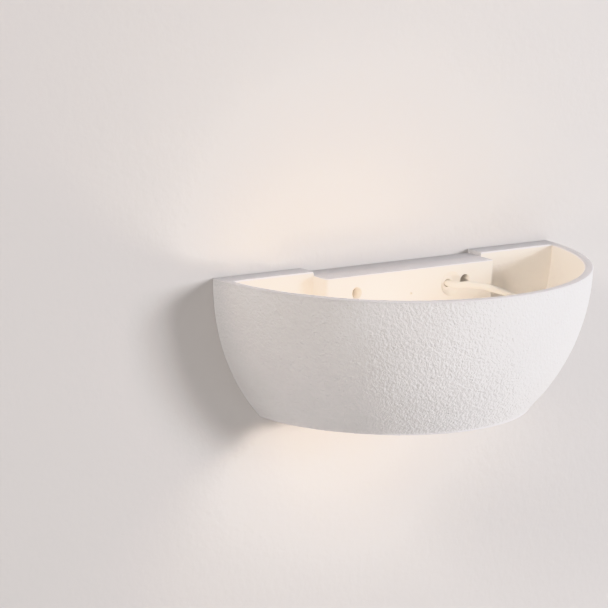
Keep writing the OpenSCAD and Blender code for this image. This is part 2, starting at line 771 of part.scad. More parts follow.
module led_chips() {
    color("#f3d75a") on_lamp(collar_end) for (i = [0:chips - 1]) rotate(360 / chips * i)
        translate([board_r * 0.66, -chip_size[1] / 2, 0]) cube(chip_size);
}

// The driver stands on edge in the housing, with its capacitor on one face.
module bulb_driver() {
    color("#4d7a4a") on_lamp() {
        translate([-driver_w / 2, -driver_t / 2, cap_start + driver_gap])
            cube([driver_w, driver_t, collar_end - board_t - cap_start - driver_gap]);
        translate([0, (driver_t + capacitor_d) / 2, cap_start + 2 * driver_gap])
            cylinder(d = capacitor_d, h = capacitor_l);
    }
}

plaster_shell();
wall_bracket();
bracket_nuts();
shell_screws();
shell_washers();
earth_screw();
terminal_block();
terminal_tubes();
terminal_screws();
terminal_fixing();
lead_stop();
lead_stop_screw();
lamp_lead();
core_live();
core_neutral();
earth_link();
earth_tags();
holder_bracket();
holder_bolts();
holder_washers();
holder_nuts();
nipple();
tooth_washer();
nipple_nut();
entry_bush();
holder_cap();
holder_insert();
thread_sleeve();
centre_contact();
holder_terminals();
holder_terminal_screws();
holder_skirt();
bulb_globe();
bulb_housing();
bulb_screw_cap();
bulb_insulator();
bulb_tip();
led_board();
led_chips();
bulb_driver();
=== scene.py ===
import json
import math

import bmesh
import bpy
import numpy as np
from mathutils import Matrix, Vector, noise


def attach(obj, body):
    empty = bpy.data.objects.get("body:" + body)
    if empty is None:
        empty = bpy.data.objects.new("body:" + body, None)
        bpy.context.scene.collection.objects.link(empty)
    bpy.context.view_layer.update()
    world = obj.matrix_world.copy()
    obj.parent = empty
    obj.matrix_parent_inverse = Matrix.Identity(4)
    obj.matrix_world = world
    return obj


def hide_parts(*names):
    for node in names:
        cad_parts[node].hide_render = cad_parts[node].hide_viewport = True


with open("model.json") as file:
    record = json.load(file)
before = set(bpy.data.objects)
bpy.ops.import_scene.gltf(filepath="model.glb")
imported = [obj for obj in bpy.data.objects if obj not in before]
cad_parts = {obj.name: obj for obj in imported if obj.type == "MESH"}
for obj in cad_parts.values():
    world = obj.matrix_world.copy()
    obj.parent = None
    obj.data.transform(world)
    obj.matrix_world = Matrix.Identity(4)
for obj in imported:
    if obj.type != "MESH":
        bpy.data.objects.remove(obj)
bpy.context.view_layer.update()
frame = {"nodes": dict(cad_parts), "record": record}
nodes = frame["nodes"]
scene = bpy.context.scene
scene.view_settings.view_transform = "Khronos PBR Neutral"
scene.view_settings.look = "None"
MM = 0.001


def put(name, data):
    """Adds one object to the scene."""
    thing = bpy.data.objects.new(name, data)
    scene.collection.objects.link(thing)
    return thing


def make_plain(thing):
    """Turns what a piece's modifiers make into its own plain mesh."""
    mesh = bpy.data.meshes.new_from_object(thing.evaluated_get(bpy.context.evaluated_depsgraph_get()))
    thing.modifiers.clear()
    thing.data = mesh


# ---------- camera, at the photograph's viewing angle ----------

YAW, PITCH, ROLL = (math.radians(a) for a in (35.394, 12.127, 1.476))
CAMERA_AT = Vector((-1.4498, -1.9296, 0.5094))
FOCAL_PX, IMAGE_PX, SENSOR_MM = 3086.7, 608, 36
FAR_CLIP = 20

ahead = Vector((math.sin(YAW) * math.cos(PITCH), math.cos(YAW) * math.cos(PITCH), -math.sin(PITCH)))
level = Vector((math.cos(YAW), -math.sin(YAW), 0))
above = level.cross(ahead)
right = math.cos(ROLL) * level + math.sin(ROLL) * above
up = math.cos(ROLL) * above - math.sin(ROLL) * level
camera = put("camera", bpy.data.cameras.new("camera"))
camera.data.sensor_width = SENSOR_MM
camera.data.lens = FOCAL_PX * SENSOR_MM / IMAGE_PX
camera.data.clip_end = FAR_CLIP
camera.matrix_world = Matrix((right, up, -ahead)).transposed().to_4x4()
camera.location = CAMERA_AT
scene.camera = camera


# ---------- materials ----------

def srgb(code):
    """A hex colour as the eye reads it, turned to linear light."""
    parts = [int(code[i:i + 2], 16) / 255 for i in (1, 3, 5)]
    return (*[p / 12.92 if p <= 0.04045 else ((p + 0.055) / 1.055) ** 2.4 for p in parts], 1)


def add(tree, kind, sockets=None, **settings):
    """Adds one node. A socket given another socket is linked to it, and given a value it holds that."""
    node = tree.nodes.new(kind)
    for name, value in settings.items():
        setattr(node, name, value)
    for name, value in (sockets or {}).items():
        if isinstance(value, bpy.types.NodeSocket):
            tree.links.new(value, node.inputs[name])
        else:
            node.inputs[name].default_value = value
    return node


def new_material(name):
    """An empty node material and its tree."""
    material = bpy.data.materials.new(name)
    material.use_nodes = True
    material.node_tree.nodes.clear()
    return material, material.node_tree


def surface(name, light, dark, patch_mm, grain_mm, grain_up_mm, rough=(0.4, 0.5), stretch=(1, 1, 1),
            **sockets):
    """A finish whose colour drifts between two tones over patch_mm, under grains grain_mm across and
    grain_up_mm high. Its roughness runs between the two values of rough."""
    material, tree = new_material(name)
    place = add(tree, "ShaderNodeTexCoord").outputs["Object"]
    place = add(tree, "ShaderNodeMapping", {"Vector": place, "Scale": stretch}).outputs["Vector"]
    drift = add(tree, "ShaderNodeTexNoise", {"Vector": place, "Scale": 1 / (patch_mm * MM), "Detail": 3})
    tone = add(tree, "ShaderNodeMix", {"Factor": drift.outputs["Fac"], "A": srgb(dark), "B": srgb(light)},
               data_type="RGBA")
    grain = add(tree, "ShaderNodeTexNoise", {"Vector": place, "Scale": 1 / (grain_mm * MM), "Detail": 4})
    relief = add(tree, "ShaderNodeBump",
                 {"Height": grain.outputs["Fac"], "Strength": 1, "Distance": grain_up_mm * MM})
    sheen = add(tree, "ShaderNodeMapRange",
                {"Value": drift.outputs["Fac"], "To Min": rough[0], "To Max": rough[1]})
    shader = add(tree, "ShaderNodeBsdfPrincipled", {
        "Base Color": tone.outputs["Result"], "Roughness": sheen.outputs["Result"],
        "Normal": relief.outputs["Normal"], **{k.replace("_", " "): v for k, v in sockets.items()}})
    add(tree, "ShaderNodeOutputMaterial", {"Surface": shader.outputs["BSDF"]})
    return material


# Width of the faint clouds in the plaster's colour.
CLOUD_MM = 45


def plaster(name, light, dark, grit_mm, grit_up_mm, sand_mm, sand_up_mm):
    """Cast plaster: coarse grit with finer sand between it, chalky and without gloss. Each is so many
    millimetres across and so many high."""
    material, tree = new_material(name)
    place = add(tree, "ShaderNodeTexCoord").outputs["Object"]
    drift = add(tree, "ShaderNodeTexNoise", {"Vector": place, "Scale": 1 / (CLOUD_MM * MM), "Detail": 3})
    tone = add(tree, "ShaderNodeMix", {"Factor": drift.outputs["Fac"], "A": srgb(dark), "B": srgb(light)},
               data_type="RGBA")
    grit = add(tree, "ShaderNodeTexNoise",
               {"Vector": place, "Scale": 1 / (grit_mm * MM), "Detail": 2, "Roughness": 0.6})
    sand = add(tree, "ShaderNodeTexNoise", {"Vector": place, "Scale": 1 / (sand_mm * MM), "Detail": 2})
    coarse = add(tree, "ShaderNodeBump",
                 {"Height": grit.outputs["Fac"], "Strength": 1, "Distance": grit_up_mm * MM})
    fine = add(tree, "ShaderNodeBump", {"Height": sand.outputs["Fac"], "Strength": 1,
                                        "Distance": sand_up_mm * MM, "Normal": coarse.outputs["Normal"]})
    chalk = add(tree, "ShaderNodeMapRange", {"Value": sand.outputs["Fac"], "To Min": 0.8, "To Max": 0.98})
    shader = add(tree, "ShaderNodeBsdfPrincipled", {
        "Base Color": tone.outputs["Result"], "Roughness": chalk.outputs["Result"],
        "Normal": fine.outputs["Normal"], "Specular IOR Level": 0.3})
    add(tree, "ShaderNodeOutputMaterial", {"Surface": shader.outputs["BSDF"]})
    return material


# Cast gypsum with a sanded face: cool white, every grain throws a small shade.
plaster_outside = plaster("sanded_plaster", "#efeeee", "#e6e4e3",
                          grit_mm=2.1, grit_up_mm=1.15, sand_mm=0.9, sand_up_mm=0.3)
# The same gypsum as it left a smooth mould: a few soft hollows and hardly any grit. Its warmer tint than the
# outside is painted lamp light.
plaster_inside_painted_warm_light = plaster("moulded_plaster_painted_warm_light", "#f2eee8", "#ece6dd",
                         grit_mm=7, grit_up_mm=0.35, sand_mm=0.8, sand_up_mm=0.05)
# The rim and the top of the box, rubbed flat after casting, with only a fine tooth. Its lilac-grey tint is
# painted cool shade.
plaster_rubbed_painted_shade = plaster("rubbed_plaster_painted_shade", "#eae8ea", "#e0ddde",
                         grit_mm=4, grit_up_mm=0.12, sand_mm=0.8, sand_up_mm=0.06)
# The finishes below give, in this order: light and dark tone; patch, grain and grain height in mm; roughness.

# Zinc plated pressed steel: dull blue-grey with cloudy patches.
zinc_plate = surface("zinc_plated_steel", "#b9bcc2", "#989ba0", 6, 0.6, 0.01, (0.32, 0.5), Metallic=1)
# Vulcanised fibre: dull brick red and slightly felted.
fibre = surface("vulcanised_fibre", "#7a3a28", "#5f2a1e", 2, 0.3, 0.02, (0.75, 0.9))
# Turned brass: warm yellow, fine tool rings read as a soft sheen.
turned_brass = surface("turned_brass", "#d8b765", "#b8923f", 3, 0.25, 0.008, (0.22, 0.4), Metallic=1)
# Bright plated steel of the small clamp screws: light, and sharper in its gloss than the zinc.
bright_steel = surface("bright_plated_steel", "#d4d5d6", "#b4b6b8", 2, 0.3, 0.006, (0.2, 0.34), Metallic=1)
# Hot tinned copper: grey, soft and a little uneven.
tin_plate = surface("tinned_copper", "#c6c5be", "#a6a49c", 2, 0.5, 0.015, (0.35, 0.5), Metallic=1)
# Natural nylon: milky white with a faint moulded grain.
nylon = surface("moulded_nylon", "#efece2", "#e2ded2", 8, 0.4, 0.012, (0.42, 0.55))
# Extruded flexible sheath: soft white, dull, with a faint grain.
sheath = surface("extruded_sheath", "#f4f1ea", "#e9e4da", 10, 0.7, 0.02, (0.38, 0.5))
# Extruded vinyl on the cores, one colour each: smooth, with a low gloss.
brown_core = surface("brown_insulation", "#6a4027", "#54301b", 5, 0.4, 0.01, (0.4, 0.5))
blue_core = surface("blue_insulation", "#3672b8", "#265a98", 5, 0.4, 0.01, (0.4, 0.5))
# White baked enamel on steel: a smooth skin with a light orange peel.
enamel = surface("baked_enamel", "#f1f0ec", "#e6e4df", 20, 1.6, 0.025, (0.25, 0.36), Coat_Weight=0.3)
# Thermoset lampholder mouldings: dense white with a soft gloss.
thermoset = surface("moulded_thermoset", "#f2f0ea", "#e8e5dd", 15, 0.8, 0.012, (0.24, 0.34))
# Glazed porcelain: bright white under a clear coat.
porcelain = surface("glazed_porcelain", "#f6f4ee", "#eae7df", 6, 2, 0.03, (0.12, 0.2), Coat_Weight=0.6)
# Nickelled brass, rolled thin: pale yellow with light scuffs.
rolled_brass = surface("rolled_brass", "#dbc98e", "#bfa968", 3, 0.4, 0.01, (0.22, 0.36), Metallic=1)
# Spring bronze: redder than brass, with brush marks drawn out along X.
bronze = surface("spring_bronze", "#c98e56", "#a56e3c", 2, 0.3, 0.006, (0.28, 0.42), stretch=(0.2, 1, 1),
                 Metallic=1)
# Satin opal polycarbonate, lit from inside: an even warm glow with no hot spot.
opal = surface("opal_diffuser", "#fdf3e2", "#f9ead2", 12, 0.6, 0.005, (0.35, 0.45),
               Emission_Color=srgb("#fff1e6"), Emission_Strength=30)
# White moulded plastic of the lamp's body: smooth, with a satin gloss.
lamp_white = surface("moulded_lamp_body", "#f1f1ee", "#e5e5e1", 12, 0.6, 0.01, (0.28, 0.4))
# Rolled aluminium lamp cap: bright, with light handling marks.
cap_metal = surface("rolled_aluminium", "#d8dadc", "#bcbfc2", 4, 0.5, 0.01, (0.22, 0.4), Metallic=1)
# Black glass fused round the end contact: deep black and glossy.
black_glass = surface("fused_black_glass", "#121214", "#08080a", 3, 1, 0.02, (0.06, 0.14))
# Solder on the end contact: grey and a little lumpy.
solder = surface("soldered_contact", "#c8bfae", "#a4967e", 1.5, 0.8, 0.05, (0.25, 0.4), Metallic=1)
# White lacquer on the aluminium board: flat, with an even soft gloss.
board_lacquer = surface("board_lacquer", "#f1f3f3", "#e4e7e7", 10, 0.5, 0.006, (0.3, 0.4))
# Silicone with yellow phosphor: strong yellow, soft and even.
phosphor = surface("phosphor_silicone", "#f3d765", "#e8c64e", 1, 0.3, 0.01, (0.35, 0.5))
# Green lacquered circuit board: dark green with a satin skin.
green_board = surface("green_board", "#3f7a4c", "#2e623a", 3, 0.5, 0.01, (0.3, 0.45))


# The wave repeats after about 0.63 of this, so the bands are some 5.7 mm apart along an axis.
STRIPE_MM = 9


def striped_core():
    """Earth insulation, extruded in two colours: green, crossed by slanting yellow bands."""
    material, tree = new_material("striped_insulation")
    place = add(tree, "ShaderNodeTexCoord").outputs["Object"]
    wave = add(tree, "ShaderNodeTexWave", {"Vector": place, "Scale": 1 / (STRIPE_MM * MM), "Distortion": 0.5},
               bands_direction="DIAGONAL")
    edge = add(tree, "ShaderNodeMapRange", {"Value": wave.outputs["Fac"], "From Min": 0.45, "From Max": 0.5})
    tone = add(tree, "ShaderNodeMix",
               {"Factor": edge.outputs["Result"], "A": srgb("#3f7d32"), "B": srgb("#e3d03c")},
               data_type="RGBA")
    shader = add(tree, "ShaderNodeBsdfPrincipled", {"Base Color": tone.outputs["Result"], "Roughness": 0.45})
    add(tree, "ShaderNodeOutputMaterial", {"Surface": shader.outputs["BSDF"]})
    return material


FINISHES = {
    "zinc_steel": zinc_plate, "vulcan_fibre": fibre, "terminal_brass": turned_brass,
    "clamp_steel": bright_steel, "tinned_copper": tin_plate, "nylon": nylon, "lead_sheath": sheath,
    "core_brown": brown_core, "core_blue": blue_core, "core_green": striped_core(),
    "white_enamel": enamel, "holder_white": thermoset, "porcelain": porcelain,
    "sleeve_brass": rolled_brass, "spring_bronze": bronze, "opal_diffuser": opal,
    "lamp_body": lamp_white, "lamp_cap": cap_metal, "black_glass": black_glass,
    "contact_metal": solder, "board_white": board_lacquer, "phosphor": phosphor,
    "circuit_green": green_board, "plaster": plaster_inside_painted_warm_light,
}
for part in frame["record"]["subparts"]:
    for holder in nodes[part["node"]].material_slots:
        holder.material = FINISHES[part["material_slot"]]


# ---------- the lead, from the wiring box to the lampholder ----------

LEAD_ROUTE_MM = [
    (39, -23, 12), (39, -30, 12), (39, -36, 12), (39.5, -40.5, 12), (41, -45, 12.5), (44, -50, 13.5),
    (49, -54.5, 13), (56, -58, 12), (64, -60.5, 9.5), (72, -62, 6.5), (80, -63, 3), (88, -63.5, -1),
    (94, -65, -5.5), (98, -68, -11), (100, -72, -16.5), (99.5, -77, -22), (97, -81, -27),
    (92.5, -84.5, -30.5), (86.5, -87, -33), (80, -88, -34), (74, -88, -34), (66, -88, -34),
    (60, -88, -34), (55, -88, -34)]
LEAD_D = 5 * MM
# Points between two marks of the route, and how finely the tube's round section is divided.
ROUTE_STEPS, LEAD_ROUNDNESS = 4, 6


def smooth_route(points, steps):
    """A curve through all the points, with a few even steps from one to the next."""
    p = [Vector(q) * MM for q in points]
    p = [2 * p[0] - p[1], *p, 2 * p[-1] - p[-2]]
    found = []
    for a, b, c, d in zip(p, p[1:], p[2:], p[3:]):
        for k in range(steps):
            t = k / steps
            found.append(0.5 * (2 * b + (c - a) * t + (2 * a - 5 * b + 4 * c - d) * t * t
                                + (3 * b - 3 * c + d - a) * t ** 3))
    return found + [p[-2]]


def make_lead():
    """The sheathed lead: one round tube along its route."""
    route = smooth_route(LEAD_ROUTE_MM, ROUTE_STEPS)
    curve = bpy.data.curves.new("lead", "CURVE")
    curve.dimensions = "3D"
    curve.bevel_depth, curve.bevel_resolution, curve.use_fill_caps = LEAD_D / 2, LEAD_ROUNDNESS, True
    spline = curve.splines.new("POLY")
    spline.points.add(len(route) - 1)
    for point, at in zip(spline.points, route):
        point.co = (*at, 1)
    spline.use_smooth = True
    curve.materials.append(sheath)
    lead = put("lead", curve)
    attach(lead, "fitting")
    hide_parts("lamp_lead")


make_lead()


# ---------- rolled screw threads of the lamp's cap and of the sleeve that takes it ----------

LAMP_Y, LAMP_Z = -88 * MM, -34 * MM
THREAD_PITCH, THREAD_LIP, THREAD_RUN_IN = 3.62 * MM, 1 * MM, 3 * MM
GRID_POINTS = 97
CAP_START, CAP_LENGTH, CAP_MOUTH_R, CAP_CORE_R = 23.55 * MM, 21.8 * MM, 10.55 * MM, 12.3 * MM
CAP_THREAD_DEPTH, CAP_WALL = 0.8 * MM, 0.45 * MM
SLEEVE_START, SLEEVE_LENGTH, SLEEVE_R = 31 * MM, 24 * MM, 13.45 * MM
SLEEVE_THREAD_DEPTH, SLEEVE_WALL = 0.25 * MM, 0.2 * MM


def screw_thread_tree():
    """A thin wall bent round the lamp's axis, raised along a right-handed helix that fades at both ends.
    The helix is set by X alone, not by the sheet's start, so the cap's crests lie in the sleeve's grooves."""
    tree = bpy.data.node_groups.new("screw_thread", "GeometryNodeTree")
    for name in ("Start X", "Length", "Mouth Radius", "Core Radius", "Lip", "Depth", "Pitch"):
        tree.interface.new_socket(name=name, in_out="INPUT", socket_type="NodeSocketFloat")
    tree.interface.new_socket(name="Finish", in_out="INPUT", socket_type="NodeSocketMaterial")
    tree.interface.new_socket(name="Mesh", in_out="OUTPUT", socket_type="NodeSocketGeometry")
    size = add(tree, "NodeGroupInput").outputs
    sheet = add(tree, "GeometryNodeMeshGrid",
                {"Size X": 1, "Size Y": 1, "Vertices X": GRID_POINTS, "Vertices Y": GRID_POINTS})
    place = add(tree, "ShaderNodeSeparateXYZ",
                {"Vector": add(tree, "GeometryNodeInputPosition").outputs["Position"]}).outputs
    share = add(tree, "ShaderNodeMath", {0: place["X"], 1: 0.5}, operation="ADD").outputs[0]
    along = add(tree, "ShaderNodeMath", {0: share, 1: size["Length"]}, operation="MULTIPLY").outputs[0]
    left = add(tree, "ShaderNodeMath", {0: size["Length"], 1: along}, operation="SUBTRACT").outputs[0]
    angle = add(tree, "ShaderNodeMath", {0: place["Y"], 1: math.tau}, operation="MULTIPLY").outputs[0]
    x = add(tree, "ShaderNodeMath", {0: size["Start X"], 1: along}, operation="SUBTRACT").outputs[0]
    turns = add(tree, "ShaderNodeMath", {0: x, 1: size["Pitch"]}, operation="DIVIDE").outputs[0]
    phase = add(tree, "ShaderNodeMath",
                {0: turns, 1: math.tau, 2: angle}, operation="MULTIPLY_ADD").outputs[0]
    wave = add(tree, "ShaderNodeMath", {0: phase}, operation="COSINE").outputs[0]
    crest = add(tree, "ShaderNodeMapRange", {"Value": wave, "From Min": -1, "From Max": 1, "To Min": 0,
                                             "To Max": size["Depth"]}).outputs["Result"]
    end = add(tree, "ShaderNodeMath", {0: along, 1: left}, operation="MINIMUM").outputs[0]
    fade = add(tree, "ShaderNodeMapRange", {"Value": end, "From Min": size["Lip"],
                                            "From Max": THREAD_RUN_IN}).outputs["Result"]
    base = add(tree, "ShaderNodeMapRange",
               {"Value": along, "From Min": 0, "From Max": size["Lip"], "To Min": size["Mouth Radius"],
                "To Max": size["Core Radius"]}).outputs["Result"]
    radius = add(tree, "ShaderNodeMath", {0: crest, 1: fade, 2: base}, operation="MULTIPLY_ADD").outputs[0]
    across = add(tree, "ShaderNodeMath", {0: angle}, operation="COSINE").outputs[0]
    down = add(tree, "ShaderNodeMath", {0: angle}, operation="SINE").outputs[0]
    y = add(tree, "ShaderNodeMath", {0: across, 1: radius, 2: LAMP_Y}, operation="MULTIPLY_ADD").outputs[0]
    drop = add(tree, "ShaderNodeMath", {0: down, 1: radius}, operation="MULTIPLY").outputs[0]
    z = add(tree, "ShaderNodeMath", {0: LAMP_Z, 1: drop}, operation="SUBTRACT").outputs[0]
    spot = add(tree, "ShaderNodeCombineXYZ", {"X": x, "Y": y, "Z": z}).outputs["Vector"]
    bent = add(tree, "GeometryNodeSetPosition", {"Geometry": sheet.outputs["Mesh"], "Position": spot})
    real = add(tree, "GeometryNodeRealizeInstances", {"Geometry": bent.outputs["Geometry"]})
    dressed = add(tree, "GeometryNodeSetMaterial",
                  {"Geometry": real.outputs["Geometry"], "Material": size["Finish"]})
    add(tree, "NodeGroupOutput", {"Mesh": dressed.outputs["Geometry"]})
    return tree


def make_thread(tree, name, node, body, slot, wall, sizes):
    """One threaded tube. A positive wall grows outwards from the bent sheet, a negative one inwards."""
    thing = put(name, bpy.data.meshes.new(name))
    maker = thing.modifiers.new("thread", "NODES")
    maker.node_group = tree
    for item in tree.interface.items_tree:
        if item.in_out == "INPUT":
            maker[item.identifier] = sizes.get(item.name, FINISHES[slot])
    make_plain(thing)
    shape = bmesh.new()
    shape.from_mesh(thing.data)
    bmesh.ops.remove_doubles(shape, verts=shape.verts, dist=0.001 * MM)
    bmesh.ops.recalc_face_normals(shape, faces=shape.faces)
    axis = Vector((0, LAMP_Y, LAMP_Z))
    faces = list(shape.faces)
    out = sum(f.normal.dot((f.calc_center_median() - axis) * Vector((0, 1, 1))) for f in faces)
    if out < 0:
        bmesh.ops.reverse_faces(shape, faces=faces)
    for face in shape.faces:
        face.smooth = True
    shape.to_mesh(thing.data)
    shape.free()
    thick = thing.modifiers.new("wall", "SOLIDIFY")
    thick.thickness, thick.offset = abs(wall), math.copysign(1, wall)
    make_plain(thing)
    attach(thing, body)
    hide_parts(node)


thread = screw_thread_tree()
make_thread(thread, "cap_thread", "bulb_screw_cap", "bulb", "lamp_cap", -CAP_WALL,
            {"Start X": CAP_START, "Length": CAP_LENGTH, "Mouth Radius": CAP_MOUTH_R,
             "Core Radius": CAP_CORE_R, "Lip": THREAD_LIP, "Depth": CAP_THREAD_DEPTH, "Pitch": THREAD_PITCH})
make_thread(thread, "sleeve_thread", "thread_sleeve", "fitting", "sleeve_brass", SLEEVE_WALL,
            {"Start X": SLEEVE_START, "Length": SLEEVE_LENGTH, "Mouth Radius": SLEEVE_R,
             "Core Radius": SLEEVE_R, "Lip": THREAD_LIP, "Depth": SLEEVE_THREAD_DEPTH, "Pitch": THREAD_PITCH})


# ---------- the plaster shell ----------

BOWL_R, WALL_T, BACK_T = 165 * MM, 7 * MM, 17.5 * MM
RIM_Z, FOOT_Z = 30 * MM, -85 * MM
BOX_X, BOX_OUT, BOX_T = 83 * MM, 35 * MM, 7 * MM
BOX_TOP, BOX_H = 27 * MM, 84 * MM
EDGE = 1.1 * MM
ROUND_STEPS = 4
ARC_POINTS, BACK_POINTS = 560, 36
OUTER_ROWS, INNER_ROWS = 118, 24


def ball_radius(radius, z):
    """Radius of the ball's round section at a height."""
    return math.sqrt(radius ** 2 - (z - RIM_Z) ** 2)


def outline(radius, back, z):
    """One closed loop at a height: the bowl's arc, then the straight back."""
    start = math.asin(back / radius)
    turn = np.linspace(start, math.pi - start, ARC_POINTS)
    reach = radius * math.cos(start)
    line = np.linspace(-reach, reach, BACK_POINTS + 2)[1:-1]
    x = np.concatenate([radius * np.cos(turn), line])
    y = np.concatenate([-radius * np.sin(turn), np.full(BACK_POINTS, -back)])
    return np.stack([x, y, np.full(len(x), z)], 1)


def quarter():
    """Steps along a rounded edge, as (sine, cosine)."""
    return [(math.sin(a), math.cos(a)) for a in np.linspace(0, math.pi / 2, ROUND_STEPS + 1)[1:]]


def shell_loops():
    """Rows of the shell, round its wall: up the outside, over the rim, down the inside, under the foot.
    Each is a loop and a mark for the side that it is on."""
    rows = []
    inner_r = BOWL_R - WALL_T
    polar = np.linspace(math.asin((FOOT_Z + EDGE - RIM_Z) / BOWL_R), math.asin(-EDGE / BOWL_R), OUTER_ROWS)
    for z in RIM_Z + BOWL_R * np.sin(polar):
        rows.append((outline(ball_radius(BOWL_R, z), 0, z), "outside"))
    for s, c in quarter():
        rows.append((outline(ball_radius(BOWL_R, RIM_Z - EDGE) - EDGE * (1 - c), EDGE * (1 - c),
                             RIM_Z - EDGE * (1 - s)), "edge"))
    for s, c in reversed(quarter()):
        rows.append((outline(inner_r + EDGE * (1 - c), BACK_T - EDGE * (1 - c),
                             RIM_Z - EDGE * (1 - s)), "edge"))
    polar = np.linspace(math.asin(-EDGE / inner_r), math.asin((FOOT_Z + EDGE - RIM_Z) / inner_r), INNER_ROWS)
    for z in RIM_Z + inner_r * np.sin(polar):
        rows.append((outline(ball_radius(inner_r, z), BACK_T, z), "inside"))
    for s, c in quarter():
        rows.append((outline(ball_radius(inner_r, FOOT_Z + EDGE) + EDGE * (1 - c), BACK_T - EDGE * (1 - c),
                             FOOT_Z + EDGE * (1 - s)), "edge"))
    for s, c in reversed(quarter()):
        rows.append((outline(ball_radius(BOWL_R, FOOT_Z + EDGE) - EDGE * (1 - c), EDGE * (1 - c),
                             FOOT_Z + EDGE * (1 - s)), "edge"))
    return rows


GRAIN_MM, GRAIN_DEPTH = 2.4, 0.45 * MM
FINE_MM, FINE_DEPTH = 1.7, 0.25 * MM
WAVE_MM, WAVE_DEPTH = 38, 0.3 * MM
INSIDE_WAVE_MM, INSIDE_WAVE_DEPTH = 9, 0.25 * MM
# Shifts that keep the patterns from lining up.
FINE_SHIFT, WAVE_SHIFT = Vector((7, 3, 1)), Vector((2, 9, 4))
# The grit fades out over this width at the rim, the foot and the wall. At the wall a small share stays.
FADE, WALL_SHARE = 2.5 * MM, 0.15


def bumps(at, size_mm, shift=Vector((0, 0, 0))):
    """Smooth noise from 0 to 1, with bumps about size_mm across."""
    return noise.noise(at / (size_mm * MM) + shift) * 0.5 + 0.5


def grit_depth(at):
    """How far the sanded face lies under the true bowl: grains of a few millimetres, and slow waves."""
    return (GRAIN_DEPTH * bumps(at, GRAIN_MM) + FINE_DEPTH * bumps(at, FINE_MM, FINE_SHIFT)
            + WAVE_DEPTH * bumps(at, WAVE_MM, WAVE_SHIFT))


def make_bowl():
    """The half bowl with its back: the shell's rows, moved by the grit, as one closed wall."""
    rows = shell_loops()
    count = ARC_POINTS + BACK_POINTS
    points = np.concatenate([loop for loop, _ in rows])
    centre = Vector((0, 0, RIM_Z))
    for r, (loop, side) in enumerate(rows):
        if side not in ("outside", "inside"):
            continue
        for k in range(ARC_POINTS):
            at = Vector(loop[k])
            fade = min(1, (RIM_Z - at.z) / FADE, (at.z - FOOT_Z) / FADE)
            if side == "outside":
                fade = min(fade, WALL_SHARE - at.y / FADE)
                move = -grit_depth(at) * max(fade, 0)
            else:
                move = -INSIDE_WAVE_DEPTH * bumps(at, INSIDE_WAVE_MM) * max(fade, 0)
            out = (at - centre).normalized()
            points[r * count + k] = at + out * move
    faces = []
    total = len(rows)
    for r in range(total):
        low, high = r * count, ((r + 1) % total) * count
        for k in range(count):
            n = (k + 1) % count
            faces.append((low + k, low + n, high + n, high + k))
    mesh = bpy.data.meshes.new("plaster_bowl")
    mesh.from_pydata(points.tolist(), [], faces)
    mesh.materials.append(plaster_outside)
    # The inside and the flat back get the plaster whose warm tint is painted lamp light.
    mesh.materials.append(plaster_inside_painted_warm_light)
    # The rim and foot edges get the plaster whose lilac-grey tint is painted cool shade.
    mesh.materials.append(plaster_rubbed_painted_shade)
    side_marks = {"outside": 0, "inside": 1, "edge": 2}
    marks = np.repeat([side_marks[side] for _, side in rows], count)
    for r in range(total):
        if rows[r][1] == "outside":
            marks[r * count + ARC_POINTS:(r + 1) * count] = 1
    mesh.polygons.foreach_set("material_index", marks.astype(np.int32))
    mesh.polygons.foreach_set("use_smooth", np.ones(len(marks), bool))
    mesh.update()
    tidy = bmesh.new()
    tidy.from_mesh(mesh)
    bmesh.ops.recalc_face_normals(tidy, faces=tidy.faces)
    tidy.to_mesh(mesh)
    tidy.free()
    return put("plaster_bowl", mesh)


def block(name, low, high):
    """A plain box between two corners."""
    mesh = bpy.data.meshes.new(name)
    shape = bmesh.new()
    size, middle = Vector(high) - Vector(low), (Vector(high) + Vector(low)) / 2
    bmesh.ops.create_cube(shape, size=1, matrix=Matrix.Translation(middle) @ Matrix.Diagonal((*size, 1)))
    shape.to_mesh(mesh)
    shape.free()
    return put(name, mesh)


def round_cutter(name, x, z, front, back, d_front, d_back, sides=48):
    """A round cutter along Y, from its front end to its back end."""
    mesh = bpy.data.meshes.new(name)
    shape = bmesh.new()
    turn = Matrix.Translation((x, (front + back) / 2, z)) @ Matrix.Rotation(math.pi / 2, 4, "X")
    bmesh.ops.create_cone(shape, cap_ends=True, segments=sides, radius1=d_back / 2, radius2=d_front / 2,
                          depth=back - front, matrix=turn)
    shape.to_mesh(mesh)
    shape.free()
    return put(name, mesh)


def cut(thing, cutters, operation="DIFFERENCE"):
    """Cuts the shapes out of a piece and leaves it a plain mesh."""
    for cutter in cutters:
        tool = thing.modifiers.new("cut", "BOOLEAN")
        tool.operation, tool.solver, tool.object = operation, "EXACT", cutter
    make_plain(thing)
    for cutter in cutters:
        bpy.data.objects.remove(cutter)


def soften(thing, width, steps):
    """Rounds the sharp edges of a piece."""
    edge = thing.modifiers.new("edge", "BEVEL")
    edge.width, edge.segments, edge.limit_method, edge.angle_limit = width, steps, "ANGLE", SHARP_FROM
    make_plain(thing)


